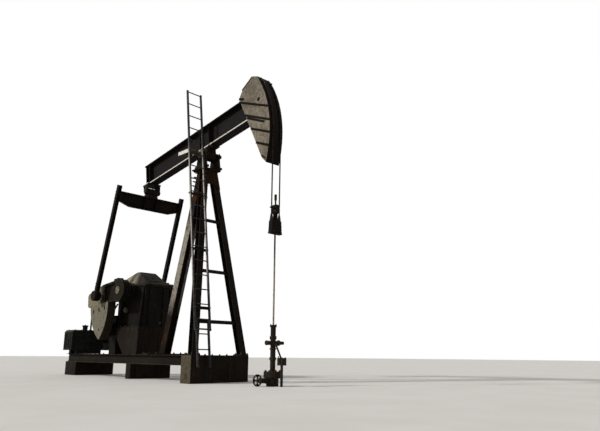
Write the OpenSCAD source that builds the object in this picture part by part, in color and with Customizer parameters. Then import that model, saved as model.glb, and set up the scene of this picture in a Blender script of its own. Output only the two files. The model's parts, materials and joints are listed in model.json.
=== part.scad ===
// Crank-balanced beam pumping unit with its wellhead, in millimetres.
// +X runs from the post towards the well, +Y to the far side and +Z up.
// The origin is the centre of the front pedestal's underside, on the ground.

/* [Base] */
// Height of the base's top above the ground
base_top = 520; // [420:10:620]
// Depth of each base rail
rail_depth = 200; // [150:10:260]
// Flange width of each base rail
rail_w = 150; // [120:10:180]
// Distance from the middle of the base to each rail's web
rail_y = 440; // [420:5:445]
// Length of the base behind the saddle
base_back = 5060; // [5000:20:5400]
// Length of the front pedestal along X
pedestal_l = 320; // [240:10:400]
// Width of the front pedestal
pedestal_w = 1420; // [1380:10:1600]
// Distance from the pedestal's middle back to the saddle
saddle_back = 540; // [480:10:600]

/* [Post] */
// Height of the saddle pivot above the ground
pivot_h = 4800; // [4600:10:5000]
// Distance from the saddle pivot down to the post's top
stand_h = 300; // [260:10:340]
// Half of the distance between the front feet
foot_spread = 602; // [560:2:640]
// Distance from the saddle forward to the front feet
foot_front = 600; // [560:10:620]
// Half of the distance between the front legs at the top
top_spread = 112; // [105:1:125]
// Width of a front leg's section
leg_w = 140; // [120:5:160]
// Width of the rear leg's section
rear_leg_w = 180; // [150:5:200]
// Distance from the saddle back to the rear leg's foot
rear_foot = 1290; // [1200:10:1400]
// Distance from the saddle back to the rear leg's top
rear_top = 190; // [180:5:210]
// Thickness of flanges and webs in the legs
leg_t = 12; // [8:1:20]
// Depth of the braces between the front legs
brace_h = 62; // [50:2:80]

/* [Walking beam] */
// Tilt of the beam at rest, head up
beam_tilt = 9.5; // [8:0.5:11]
// Depth of the beam
beam_depth = 530; // [480:10:580]
// Width of the beam's flanges
beam_w = 230; // [210:5:240]
// Thickness of the beam's flanges
beam_flange_t = 25; // [18:1:32]
// Thickness of the beam's web
beam_web_t = 16; // [12:1:24]
// Distance from the pivot up to the beam's underside
beam_rise = 185; // [175:1:195]
// Distance from the pivot back to the tail bearing
tail_l = 2320; // [2280:5:2360]
// Length of the beam behind the tail bearing
tail_end = 115; // [100:5:160]
// Radius of the saddle shaft
saddle_r = 60; // [50:1:70]

/* [Horse head] */
// Radius of the head's curved face about the saddle pivot
arc_r = 2180; // [2150:5:2200]
// Width of the head
head_w = 340; // [320:5:360]
// Thickness of the head's side plates
side_t = 14; // [10:1:20]
// Thickness of the head's curved face
face_t = 16; // [12:1:20]
// Angle of the face above the beam's axis
face_up = 26.3; // [25:0.1:27]
// Angle of the face below the beam's axis
face_down = 26.5; // [26:0.1:27]
// Radius of each bridle wire
wire_r = 14; // [12:0.5:16]
// Distance from the middle to each bridle wire
wire_y = 100; // [90:1:110]

/* [Gear reducer] */
// Distance from the saddle back to the crankshaft
shaft_back = 2280; // [2260:5:2300]
// Height of the crankshaft above the ground
shaft_h = 1950; // [1930:5:1970]
// Half of the gear case's width
case_half = 300; // [280:5:320]
// Half of the width of the bed under the gear case
bed_half = 430; // [410:5:440]
// Length of the gear case along X
case_l = 1190; // [1150:10:1230]
// Height of the gear case's cover
cover_h = 330; // [300:5:360]
// Height of the gear case's joint face above the crankshaft
case_rise = 130; // [100:5:180]
// Height of the pedestal under the gear case
reducer_lift = 580; // [540:10:620]
// Radius of the crankshaft
crankshaft_r = 85; // [75:1:95]

/* [Cranks] */
// Distance from the crankshaft to the wrist pin in use
crank_r = 740; // [730:5:750]
// Length of each crank from the shaft to its tip
crank_l = 1440; // [1400:10:1440]
// Tilt of the cranks at rest, tips down
crank_tilt = 7.5; // [6:0.5:9]
// Thickness of each crank
crank_t = 180; // [160:5:200]
// Distance from the middle to each crank's inner face
crank_in = 530; // [525:1:535]
// Thickness of each counterweight
weight_t = 200; // [185:5:215]
// Depth of each counterweight, from its crank's lower edge to its point
weight_h = 810; // [760:10:840]
// Width of each counterweight along its crank
weight_w = 840; // [800:10:860]

/* [Pitmans] */
// Distance from the middle to each pitman's centre
pitman_y = 868; // [864:1:880]
// Width of each pitman's section
pitman_w = 90; // [80:5:100]
// Radius of each wrist pin bearing
wrist_r = 110; // [95:1:120]
// Depth of the equalizer at its middle
equalizer_h = 340; // [300:10:380]
// Thickness of the equalizer
equalizer_t = 180; // [160:5:200]

/* [Ladder] */
// Width between the ladder's rails
ladder_w = 390; // [360:5:420]
// Spacing of the rungs
rung_gap = 297; // [290:1:300]
// Number of rungs in the upper ladder
rung_count = 18; // [16:1:18]
// Size of each rail
rail_t = 36; // [28:1:42]
// Radius of each rung
rung_r = 12; // [9:0.5:15]

/* [Well] */
// Radius of the polished rod
rod_r = 16; // [14:0.5:19]
// Height of the stuffing box's top above the ground
stuffing_top = 1070; // [1040:5:1120]
// Height of the carrier bar's underside above the ground
carrier_low = 2750; // [2700:10:2800]
// Height of the carrier bar
carrier_h = 250; // [220:5:270]

/* [Hidden] */

// Radial play of a shaft in its bearing
running = 0.05;
// Gap between two pieces that seat but are not joined
seat = 0.3;
// Gap left between moving pieces that pass each other
pass_gap = 6;
// Overrun of a cut past the face that it opens
over = 5;
// Overrun of a member before its ends are trimmed
trim = 400;

// Plate and flange thickness in the base rails
base_t = 12;
saddle_x = -saddle_back;
pedestal_back = -pedestal_l / 2;
pedestal_front = pedestal_l / 2;
rail_low = base_top - rail_depth;
base_end = saddle_x - base_back;

// Foot plates under the legs
foot_t = 25;
foot_z = base_top + foot_t;
post_top = pivot_h - stand_h;
cap_t = 30;
cap_z = post_top - cap_t;
front_lean = atan(foot_front / (cap_z - foot_z));
front_l = norm([foot_front, cap_z - foot_z]);
splay = atan((foot_spread - top_spread) / front_l);
front_foot_x = saddle_x + foot_front;
rear_foot_x = saddle_x - rear_foot;
brace_z = [1200, 2230, 3330];

// Saddle stand and housing
stand_in = 130;
stand_t = 95;
stand_l = 400;
stand_r = 112;
housing_half = stand_in - 8;
housing_r = 105;

// Horse head outline in the beam's own frame, from the saddle pivot
head_back_top = [arc_r - 840, 740];
head_shoulder = [arc_r - 710, 890];
head_peak = [arc_r - 390, 1050];
head_back_low = [arc_r - 335, -835];
head_inner = arc_r - 220;
plate_t = 16;
wire_line = arc_r + wire_r + seat;
wire_off = 25.5;

// Tail bearing and equalizer, in the frame of the swinging pitmans
tail_pin_r = 45;
tail_half = 145;
tail_ear_t = 35;
tail_x = saddle_x - tail_l * cos(beam_tilt);
tail_z = pivot_h - tail_l * sin(beam_tilt);
shaft_x = saddle_x - shaft_back;
wrist_x = shaft_x - crank_r * cos(crank_tilt);
wrist_z = shaft_h - crank_r * sin(crank_tilt);
pitman_l = norm([tail_x - wrist_x, tail_z - wrist_z]);
pitman_lean = atan2(tail_x - wrist_x, tail_z - wrist_z);
equalizer_drop = 130;
equalizer_end_h = 240;
equalizer_flat = 500;
equalizer_web_t = 20;
pitman_t = 9;
wrist_half = 76;
wrist_pin_r = 48;

// Cranks
weight_in = crank_in - (weight_t - crank_t) / 2;
hub_r = 250;
// Upper and lower edges of a crank, as distance from the shaft and height over its axis
crank_shoulder = [680, 265];
crank_toe = [500, -180];
crank_tip_up = 165;
crank_tip_down = -160;
tip_cut = 45;
rim = 48;
recess = 60;
pin_step = 150;
weight_mid = 860;
arch_r = (pow(weight_w / 2, 2) + pow(weight_h, 2)) / weight_w;

// Gear case
case_back = 85;
case_x0 = shaft_x - case_l / 2 - case_back;
case_x1 = case_x0 + case_l;
case_low = base_top + reducer_lift;
case_joint = shaft_h + case_rise;
cover_top = 205;
cover_tail = 110;
cover_flat = 65;
lip = 25;
lip_t = 28;
foot_h = 40;
rib_t = 22;
cap_r = 190;
cap_out = 490;
input_x = shaft_x - 830;
input_z = 1130;
snout_half = 330;
snout_l = 180;
snout_drop = 120;
snout_rise = 320;

// Belt drive and engine
guard_t = 150;
guard_r = 350;
guard_small_r = 240;
engine_x0 = base_end + 120;
engine_l = 450;
engine_y0 = -670;
engine_w = 850;
engine_top = 1110;
engine_shaft_z = 850;

// Ladder, measured up along its own slope from the level of the leg feet
ladder_out = 161;
ladder_skew = 0.65;
ladder_y = -472;
ladder_foot = -270;
ladder_low = 420;
ladder_first = 644;
ladder_over = 30;
ladder_top = ladder_first + (rung_count - 1) * rung_gap + ladder_over;

// Well
well_x = saddle_x + wire_line;
tubing_r = 48;
casing_r = 110;
casing_flange_r = 160;
casing_h = 250;
tee_z = 750;
outlet_r = 30.15;
stuffing_h = 250;
stuffing_r = 62;
rod_top = 3520;
rod_low = 150;

paint = [0.20, 0.17, 0.14];
dark_paint = [0.14, 0.12, 0.10];
rust = [0.36, 0.19, 0.10];
bare_steel = [0.55, 0.55, 0.55];

// Extrudes a profile drawn in X and Z along Y, from y0 over the length l
module along_y(y0, l) {
    translate([0, y0 + l, 0]) rotate([90, 0, 0]) linear_extrude(l) children();
}

// Puts its children in the beam's own frame at the saddle pivot
module in_beam() {
    translate([saddle_x, 0, pivot_h]) rotate([0, -beam_tilt, 0]) children();
}

// Puts its children in the frame that swings under the tail bearing, -Z towards the wrist pins
module in_swing() {
    translate([tail_x, 0, tail_z]) rotate([0, pitman_lean, 0]) children();
}

// Centred block
module block(x0, x1, y0, y1, z0, z1) {
    translate([x0, y0, z0]) cube([x1 - x0, y1 - y0, z1 - z0]);
}

// Extrudes a profile drawn in Y and Z along X, from x0 over the length l
module along_x(x0, l) {
    translate([x0, 0, 0]) rotate([90, 0, 90]) linear_extrude(l) children();
}

// Cylinder along Y
module rod_y(r, y0, y1, fn = 48) {
    translate([0, y0, 0]) rotate([-90, 0, 0]) cylinder(h = y1 - y0, r = r, $fn = fn);
}

// H section, flanges across X at the two ends of d
module h_section(w, d, t) {
    for (s = [-1, 1]) translate([s * (d - t) / 2 - t / 2, -w / 2]) square([t, w]);
    translate([-d / 2 + t / 2, -t / 2]) square([d - t, t]);
}

// Puts its children in the front legs' plane: X out of it, Z up along it from the feet
module in_front_plane() {
    translate([front_foot_x, 0, foot_z]) rotate([0, -front_lean, 0]) children();
}

// Keeps what lies between two heights
module between(z0, z1) {
    intersection() {
        children();
        block(-base_back, base_back, -pedestal_w, pedestal_w, z0, z1);
    }
}

pedestal_lip = 14;
module front_pedestal() {
    half = pedestal_w / 2;
    color(dark_paint) {
        for (z = [0, base_top - foot_t]) block(pedestal_back, pedestal_front, -half, half, z, z + foot_t);
        block(pedestal_back, pedestal_front - pedestal_lip, -half + pedestal_lip, half - pedestal_lip, 0, base_top);
        for (y = [-half, -half / 3, half / 3, half - base_t])
            block(pedestal_back, pedestal_front, y, y + base_t, 0, base_top);
    }
}

// Wide-flange rail along X
module rail(y) {
    for (z = [rail_low, base_top - base_t])
        block(base_end, pedestal_back, y - rail_w / 2, y + rail_w / 2, z, z + base_t);
    block(base_end, pedestal_back, y - base_t / 2, y + base_t / 2, rail_low, base_top);
}

module base_rail_near() {
    color(dark_paint) rail(-rail_y);
}

module base_rail_far() {
    color(dark_paint) rail(rail_y);
}

cross_x = [base_end + 60, engine_x0 + engine_l - 60, case_x0 + 60, case_x1 - 60, rear_foot_x];
cross_w = 120;
module base_cross_beams() {
    color(dark_paint) for (x = cross_x)
        block(x - cross_w / 2, x + cross_w / 2, -rail_y + base_t / 2, rail_y - base_t / 2,
            rail_low + base_t, base_top - base_t);
    color(dark_paint) block(rear_foot_x - rear_leg_w / 2 - 30, rear_foot_x + rear_leg_w / 2 + 30,
        -rail_y - rail_w / 2, rail_y + rail_w / 2, base_top, foot_z);
}

// Blocks and stands under the rails, with the ground showing between them
wall_half = 380;
wall_t = 120;
post_l = 190;
module base_supports() {
    half = rail_y + rail_w / 2;
    color(dark_paint) {
        block(base_end, engine_x0 + engine_l, -half, half, 0, rail_low);
        block(case_x1 - wall_t, case_x1, -wall_half, wall_half, 0, rail_low);
        for (s = [-1, 1])
            block(case_x1 - wall_t / 2 - post_l, case_x1 - wall_t / 2, s * rail_y - rail_w / 2, s * rail_y + rail_w / 2, 0, rail_low);
    }
}

module front_leg(s) {
    between(foot_z, cap_z) in_front_plane() translate([0, s * foot_spread, 0]) rotate([s * splay, 0, 0])
        translate([0, 0, -trim]) linear_extrude(front_l + 2 * trim) h_section(leg_w, leg_w, leg_t);
    translate([front_foot_x, s * foot_spread, base_top + foot_t / 2])
        cube([leg_w + 60, leg_w + 60, foot_t], center = true);
}

module front_leg_near() {
    color(paint) front_leg(-1);
}

module front_leg_far() {
    color(paint) front_leg(1);
}

module rear_leg() {
    run = rear_foot - rear_top;
    rise = cap_z - foot_z;
    color(paint) between(foot_z, cap_z) translate([rear_foot_x, 0, foot_z]) rotate([0, atan(run / rise), 0])
        translate([0, 0, -trim]) linear_extrude(norm([run, rise]) + 2 * trim) rotate([0, 0, 90]) h_section(rear_leg_w, rear_leg_w, leg_t);
}

// Distance from the middle to the near side of a front leg's web, z up along the legs' plane
function web_y(z) = foot_spread - tan(splay) * z - leg_t / 2 / cos(splay);
function plane_z(z) = (z - foot_z) / cos(front_lean);

// Bar between the front legs' webs, its ends cut to their slope
module web_to_web(x, t, z, h) {
    translate([x, 0, 0]) rotate([90, 0, 90]) linear_extrude(t)
        polygon([[-web_y(z), z], [web_y(z), z], [web_y(z - h), z - h], [-web_y(z - h), z - h]]);
}

module leg_braces() {
    color(paint) in_front_plane() for (z = brace_z) {
        web_to_web(-40, 80, plane_z(z), 10);
        web_to_web(28, 12, plane_z(z) - 10, brace_h);
    }
}

gusset_h = 430;
module post_gusset() {
    top = top_spread + leg_w / 2;
    low = top + gusset_h * tan(splay);
    color(rust) between(foot_z, cap_z) in_front_plane() translate([leg_w / 2, 0, front_l + trim]) rotate([90, 0, 90])
        linear_extrude(plate_t) polygon([[-top, 0], [top, 0], [top, -trim], [low, -trim - gusset_h],
            [60, -trim - gusset_h * 0.8], [-60, -trim - gusset_h * 0.8], [-low, -trim - gusset_h], [-top, -trim]]);
}

module post_cap() {
    half = stand_in + stand_t + 10;
    color(rust) block(saddle_x - rear_top - rear_leg_w / 2, saddle_x + leg_w, -half, half, cap_z, post_top);
}

// Split pillow block on each side of the saddle, with bolting ears at its joint
ear_x = 175;
ear_h = 32;
module saddle_stand() {
    color(paint) for (s = [-1, 1]) {
        y0 = s > 0 ? stand_in : -stand_in - stand_t;
        difference() {
            union() {
                block(saddle_x - stand_l / 2, saddle_x + stand_l / 2, y0, y0 + stand_t, post_top, post_top + 45);
                along_y(y0 + 10, stand_t - 20)
                    polygon([[saddle_x - stand_l / 2 + 40, post_top], [saddle_x + stand_l / 2 - 40, post_top],
                        [saddle_x + stand_r, pivot_h], [saddle_x - stand_r, pivot_h]]);
                translate([saddle_x, 0, pivot_h]) rod_y(stand_r, y0, y0 + stand_t);
                block(saddle_x - ear_x, saddle_x + ear_x, y0 + 10, y0 + stand_t - 10, pivot_h - ear_h, pivot_h + ear_h);
            }
            translate([saddle_x, 0, pivot_h]) rod_y(saddle_r + seat, y0 - over, y0 + stand_t + over);
        }
    }
}

module saddle_shaft() {
    out = stand_in + stand_t;
    color(bare_steel) translate([saddle_x, 0, pivot_h]) {
        rod_y(saddle_r, -out - 10, out + 10);
        for (s = [-1, 1]) rod_y(saddle_r + 25, s > 0 ? out + seat : -out - 22, s > 0 ? out + 22 : -out - seat);
    }
}

// Puts its children in the ladder's frame, which leans with the front legs' plane
module in_ladder() {
    in_front_plane() translate([ladder_out, ladder_y, 0]) rotate([-ladder_skew, 0, 0]) children();
}

// Rails from z0 to z1 along the ladder, with rungs from the height first
module ladder_section(z0, z1, count, first, inset) {
    for (s = [-1, 1])
        translate([-rail_t / 2, s * (ladder_w / 2 - inset) - (s > 0 ? rail_t : 0), z0])
            cube([rail_t, rail_t, z1 - z0]);
    for (i = [0:count - 1]) translate([0, 0, first + i * rung_gap])
        rod_y(rung_r, -ladder_w / 2 + inset + over, ladder_w / 2 - inset - over, 6);
}

module ladder_upper() {
    color(bare_steel) in_ladder() {
        ladder_section(ladder_low, ladder_top, rung_count, ladder_first, 0);
        block(rail_t / 2, rail_t / 2 + 8, -ladder_w / 2, ladder_w / 2, ladder_low + 10, ladder_low + 40);
    }
}

// Depth of the lower ladder's top rung below the upper ladder's end
ladder_step = 63;
module ladder_lower() {
    color(bare_steel) in_ladder() ladder_section(ladder_foot, ladder_first - 2 * rung_r, 2,
        ladder_low - ladder_step - rung_gap, rail_t + seat);
}

bracket_first = 700;
bracket_gap = 1200;
bracket_z = [for (i = [0:2]) front_l - bracket_first - i * bracket_gap];
bracket_h = 60;
bracket_t = 14;
module ladder_brackets() {
    color(paint) for (z = bracket_z) {
        in_ladder() block(-rail_t / 2 - bracket_t, -rail_t / 2, -ladder_w / 2, ladder_w / 2, z - bracket_h / 2, z + bracket_h / 2);
        in_front_plane() block(leg_w / 2, ladder_out - rail_t / 2 - bracket_t, -web_y(z) - 70, -web_y(z) + 30,
            z - bracket_h / 2, z + bracket_h / 2);
    }
}

platform_z = pivot_h + 45;
platform_edge = 80;
platform_out = 520;
module work_platform() {
    y1 = -stand_in - stand_t - 40;
    low = platform_z + 25 - platform_edge;
    color(bare_steel) {
        block(saddle_x - 420, saddle_x - 10, -platform_out, y1, platform_z, platform_z + 25);
        block(saddle_x - 420, saddle_x - 10, -platform_out, -platform_out + 12, low, platform_z);
        for (x = [-saddle_r - 40, -saddle_r - 190])
            block(saddle_x + x - 12, saddle_x + x + 12, -platform_out, y1, low, platform_z);
        block(saddle_x - ear_x, saddle_x - ear_x + 45, y1, -stand_in - stand_t + 40, pivot_h + ear_h, platform_z + 12);
    }
}

// The bed's wide part ends clear of the belt guard
bed_x0 = input_x + guard_r + 20;
bed_drop = 160;
module reducer_pedestal() {
    rear = shaft_x - 80;
    top = case_low - 20;
    color(paint) {
        for (s = [-1, 1])
            along_y(s > 0 ? bed_half - 20 : -bed_half, 20)
                polygon([[case_x1, base_top], [rear, base_top], [bed_x0, top - bed_drop], [bed_x0, top], [case_x1, top]]);
        block(case_x1 - 20, case_x1, -bed_half, bed_half, base_top, top);
        block(bed_x0, case_x1, -bed_half, bed_half, top, case_low);
        block(case_x0, bed_x0, -case_half, case_half, top, case_low);
        block(input_x - snout_l + 30, case_x0 - 10, -case_half, case_half, base_top, case_low - snout_drop);
    }
}

rib_edge = 30;
rib_x = [bed_x0 + rib_edge, case_x1 - rib_edge - rib_t];
module gear_case() {
    color(dark_paint) difference() {
        union() {
            block(case_x0, case_x1, -case_half, case_half, case_low, case_joint);
            block(bed_x0, case_x1, -bed_half + 15, bed_half - 15, case_low, case_low + foot_h);
            block(case_x0 - lip, case_x1 + lip, -case_half - lip, case_half + lip, case_joint - lip_t, case_joint);
            block(input_x - snout_l, case_x0, -snout_half, snout_half, case_low - snout_drop, case_low + snout_rise);
            block(input_x - snout_l - lip, case_x0, -snout_half - 12, snout_half - 12, input_z - 14, input_z + 14);
            translate([shaft_x, 0, shaft_h]) rod_y(cap_r, -cap_out + 30, cap_out - 30);
            translate([shaft_x, 0, shaft_h]) rod_y(cap_r - 45, -cap_out, cap_out);
            translate([input_x, 0, input_z]) rod_y(95, -snout_half - 45, -snout_half);
            for (x = rib_x, s = [-1, 1])
                along_x(x, rib_t) polygon([[s * case_half, case_low], [s * (bed_half - 15), case_low + foot_h],
                    [s * (case_half + lip), case_joint - lip_t], [s * case_half, case_joint - lip_t]]);
            for (y = [-180, 180])
                along_y(y - rib_t / 2, rib_t) polygon([[case_x1, case_low + foot_h], [case_x1 + lip, case_low + foot_h],
                    [case_x1 + lip, case_joint - lip_t], [case_x1, case_joint - lip_t]]);
        }
        translate([shaft_x, 0, shaft_h]) rod_y(crankshaft_r + running, -cap_out - over, cap_out + over);
        block(case_x0 - lip, case_x1 + lip, -case_half - lip, case_half + lip, case_joint, case_joint + cap_r);
    }
}

breather_back = 430;
module gear_case_cover() {
    low = case_joint + lip_t;
    top = case_joint + cover_h;
    breather_x = shaft_x - breather_back;
    color(paint) {
        block(case_x0 - lip, case_x1 + lip, -case_half - lip, case_half + lip, case_joint, low);
        intersection() {
            along_y(-case_half, 2 * case_half)
                polygon([[case_x0, low], [case_x1, low], [shaft_x + cover_flat, top], [shaft_x - cover_flat, top],
                    [case_x0, low + cover_tail]]);
            along_x(case_x0, case_l)
                polygon([[-case_half, low], [case_half, low], [cover_top, top], [-cover_top, top]]);
        }
        translate([breather_x, -60, low + cover_tail]) {
            cylinder(h = 170, r = 26, $fn = 24);
            translate([0, 0, 125]) cylinder(h = 45, r = 48, $fn = 24);
        }
        for (y = [-90, 90]) along_y(y - 10, 20)
            difference() {
                polygon([[case_x0 + 20, low], [case_x0 + 160, low], [case_x0 + 120, low + 230], [case_x0 + 60, low + 230]]);
                translate([case_x0 + 90, low + 190]) circle(r = 20, $fn = 24);
            }
    }
}

// Drum on the near end of the input shaft, with its band and the lever that pulls it
drum_r = 200;
module brake() {
    y0 = -snout_half - 45;
    lever = 520;
    color(dark_paint) translate([input_x, 0, input_z]) {
        rod_y(drum_r, y0 - 90, y0 - 15);
        rod_y(drum_r + 14, y0 - 80, y0 - 25);
        rod_y(60, y0 - 15, y0);
        translate([-60, 0, drum_r]) rotate([0, 50, 0]) block(-16, 16, y0 - 64, y0 - 40, 0, lever);
    }
}

// Outline of a guard round two sheaves: an arc at each end, joined by straight sides
function arc_points(c, r, a0, a1, n) = [for (i = [0:n]) c + r * [cos(a0 + (a1 - a0) * i / n), sin(a0 + (a1 - a0) * i / n)]];

module guard_outline(a, ra, b, rb) {
    dir = atan2(b[1] - a[1], b[0] - a[0]);
    t = acos((ra - rb) / norm(b - a));
    polygon(concat(arc_points(a, ra, dir + t, dir + 360 - t, 40), arc_points(b, rb, dir - t, dir + t, 20)));
}

engine_shaft_x = engine_x0 + engine_l / 2;
module belt_guard() {
    color(dark_paint) along_y(snout_half, guard_t)
        guard_outline([input_x, input_z], guard_r, [engine_shaft_x, engine_shaft_z], guard_small_r);
}

// Housing on skids, its top corners cut back, with a recessed grille in the near end and a door in the front
engine_cut = 50;
module engine() {
    x1 = engine_x0 + engine_l;
    y1 = engine_y0 + engine_w;
    low = base_top + 90;
    color(dark_paint) {
        difference() {
            along_x(engine_x0, engine_l) polygon([[engine_y0, low], [y1, low], [y1, engine_top - engine_cut],
                [y1 - engine_cut, engine_top], [engine_y0 + engine_cut, engine_top], [engine_y0, engine_top - engine_cut]]);
            block(engine_x0 + 50, x1 - 50, engine_y0 - over, engine_y0 + 25, low + 50, engine_top - engine_cut - 30);
            block(x1 - 10, x1 + over, engine_y0 + 120, y1 - 150, low + 60, engine_top - engine_cut - 40);
        }
        for (x = [engine_x0 + 20, x1 - 110]) block(x, x + 90, engine_y0 + 150, y1 - 40, base_top, low);
        translate([engine_shaft_x, 0, engine_shaft_z]) rod_y(40, y1, snout_half);
    }
}

module engine_fittings() {
    color(bare_steel) translate([engine_x0 + 150, -205, engine_top]) {
        cylinder(h = 95, r = 62, $fn = 32);
        translate([0, 0, 95]) cylinder(h = 35, r = 74, $fn = 32);
    }
    color(rust) translate([engine_x0 + 200, -75, engine_top]) {
        cylinder(h = 20, r = 42, $fn = 24);
        cylinder(h = 360, r = 20, $fn = 24);
    }
}

module casing_head() {
    color(dark_paint) translate([well_x, 0, 0]) difference() {
        union() {
            cylinder(h = casing_h, r = casing_r, $fn = 48);
            translate([0, 0, casing_h - 90]) cylinder(h = 90, r = casing_flange_r, $fn = 48);
        }
        translate([0, 0, -over]) cylinder(h = casing_h + 2 * over, r = tubing_r - 10, $fn = 48);
    }
}

// Gate valve on the near side of the casing head, with its handwheel
wheel_r = 105;
module casing_valve() {
    color(paint) translate([well_x, 0, casing_h / 2 - 25]) {
        rod_y(30, -casing_r - 190, -casing_r);
        for (y = [-60, -190]) rod_y(52, -casing_r + y, -casing_r + y + 22);
        rod_y(44, -casing_r - 150, -casing_r - 80);
        translate([-16, -casing_r - 131, 0]) rotate([0, -90, 0]) cylinder(h = 120, r = 12, $fn = 24);
        translate([-122, -casing_r - 131, 0]) rotate([0, -90, 0]) difference() {
            cylinder(h = 14, r = wheel_r, $fn = 48);
            for (a = [0:90:270]) rotate([0, 0, a + 45]) translate([wheel_r * 0.52, 0, -over])
                cylinder(h = 14 + 2 * over, r = 30, $fn = 24);
        }
    }
}

// Riser beside the well: a valve block on a leg, joined to the tee by a sloping pipe
riser_x = 235;
riser_z = 360;
riser_block = 130;
riser_r = 16;
module flow_riser() {
    elbow = [tubing_r + 40, tee_z - 50];
    foot = [riser_x - 20, riser_z + riser_block - 10];
    run = elbow - foot;
    color(dark_paint) translate([well_x, 0, 0]) {
        translate([riser_x, 0, 0]) cylinder(h = riser_z, r = 24, $fn = 32);
        block(riser_x - 60, riser_x + 60, -55, 55, riser_z, riser_z + riser_block);
        translate([foot[0], 0, foot[1]]) rotate([0, atan2(run[0], run[1]), 0]) cylinder(h = norm(run), r = riser_r, $fn = 32);
        translate([tubing_r + seat, 0, elbow[1]]) rotate([0, 90, 0]) cylinder(h = 52, r = riser_r + 3, $fn = 32);
    }
}

module tubing_tee() {
    color(paint) translate([well_x, 0, 0]) difference() {
        union() {
            translate([0, 0, casing_h]) cylinder(h = stuffing_top - stuffing_h - casing_h, r = tubing_r, $fn = 48);
            translate([0, 0, tee_z]) rod_y(38, -150, 150);
            translate([0, 0, tee_z]) rod_y(outlet_r, 150, 250);
        }
        translate([0, 0, casing_h - over])
            cylinder(h = stuffing_top - stuffing_h - casing_h + 2 * over, r = tubing_r - 10, $fn = 48);
    }
}

module stuffing_box() {
    color(paint) translate([well_x, 0, stuffing_top - stuffing_h]) difference() {
        union() {
            cylinder(h = stuffing_h, r = tubing_r, $fn = 48);
            cylinder(h = 50, r = stuffing_r, $fn = 48);
            translate([0, 0, stuffing_h - 40]) cylinder(h = 40, r = stuffing_r, $fn = 48);
        }
        translate([0, 0, -over]) cylinder(h = stuffing_h + 2 * over, r = rod_r + running, $fn = 48);
    }
}

beam_back = -tail_l - tail_end;
beam_front = arc_r - 300;
stiffener_x = [-tail_l - 70, -tail_l + 70, -170, 170];
module walking_beam() {
    top = beam_rise + beam_depth;
    color(paint) in_beam() {
        for (z = [beam_rise, top - beam_flange_t])
            block(beam_back, beam_front, -beam_w / 2, beam_w / 2, z, z + beam_flange_t);
        block(beam_back, beam_front, -beam_web_t / 2, beam_web_t / 2, beam_rise, top);
        for (x = stiffener_x)
            block(x - plate_t / 2, x + plate_t / 2, -beam_w / 2 + 8, beam_w / 2 - 8, beam_rise, top);
    }
}

module saddle_housing() {
    color(paint) in_beam() difference() {
        union() {
            rod_y(housing_r, -housing_half, housing_half);
            block(-housing_r, housing_r, -housing_half, housing_half, 0, beam_rise - 30);
            block(-260, 260, -beam_w / 2, beam_w / 2, beam_rise - 30, beam_rise);
        }
        rod_y(saddle_r + running, -housing_half - over, housing_half + over);
    }
}

module head_side(s) {
    in_beam() intersection() {
        along_y(s > 0 ? head_w / 2 - side_t : -head_w / 2, side_t)
            polygon([head_back_top, head_shoulder, head_peak, arc_r * [cos(face_up), sin(face_up)],
                [arc_r + 100, 0], arc_r * [cos(face_down), -sin(face_down)], head_back_low]);
        rod_y(arc_r - face_t, -head_w, head_w, 360);
    }
}

module head_side_near() {
    color(paint) head_side(-1);
}

module head_side_far() {
    color(paint) head_side(1);
}

// Band about the saddle pivot, from angle a0 to a1 in the beam's frame
module arc_band(a0, a1) {
    rotate([90, 0, 0]) rotate([0, 0, a0]) rotate_extrude(angle = a1 - a0, $fn = 360) children();
}

module head_face() {
    color(dark_paint) in_beam() arc_band(-face_down, face_up)
        translate([arc_r - face_t, -head_w / 2]) square([face_t, head_w]);
}

// Plate inside the head along the edge from p to q of its outline
module edge_plate(p, q) {
    n = [q[1] - p[1], p[0] - q[0]] * plate_t / norm(q - p);
    polygon([p, q, q + n, p + n]);
}

cross_top = 560;
cross_low = 400;
module head_cross_plates() {
    half = head_w / 2 - side_t;
    x1 = head_inner;
    back = head_back_low - head_back_top;
    low_start = head_back_top + back * (head_back_top[1] - beam_rise + plate_t) / -back[1];
    color(paint) in_beam() {
        block(head_inner - cross_top, x1, -half, half, beam_rise + beam_depth, beam_rise + beam_depth + plate_t);
        block(head_inner - cross_low, x1, -half, half, beam_rise - plate_t, beam_rise);
        intersection() {
            along_y(-half, 2 * half) {
                edge_plate(head_back_top, head_shoulder);
                edge_plate(head_shoulder, head_peak);
                edge_plate(head_peak, arc_r * [cos(face_up), sin(face_up)]);
                edge_plate(head_back_low, low_start);
                edge_plate(arc_r * [cos(face_down), -sin(face_down)], head_back_low);
            }
            rod_y(arc_r - face_t, -head_w, head_w, 360);
        }
    }
}

module bridle_wrap() {
    color(bare_steel) in_beam() for (s = [-1, 1])
        arc_band(-beam_tilt, wire_off) translate([wire_line, s * wire_y]) circle(r = wire_r, $fn = 24);
}

tail_ear_low = -65;
module tail_bracket() {
    color(paint) in_beam() translate([-tail_l, 0, 0]) {
        block(-120, 120, -tail_half - tail_ear_t, tail_half + tail_ear_t, beam_rise - 30, beam_rise);
        difference() {
            for (s = [-1, 1]) along_y(s > 0 ? tail_half : -tail_half - tail_ear_t, tail_ear_t)
                polygon([[-100, beam_rise - 30], [100, beam_rise - 30], [60, tail_ear_low], [-60, tail_ear_low]]);
            rod_y(tail_pin_r + seat, -tail_half - tail_ear_t - over, tail_half + tail_ear_t + over);
        }
        rod_y(tail_pin_r, -tail_half - tail_ear_t - 12, tail_half + tail_ear_t + 12);
    }
}

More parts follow.
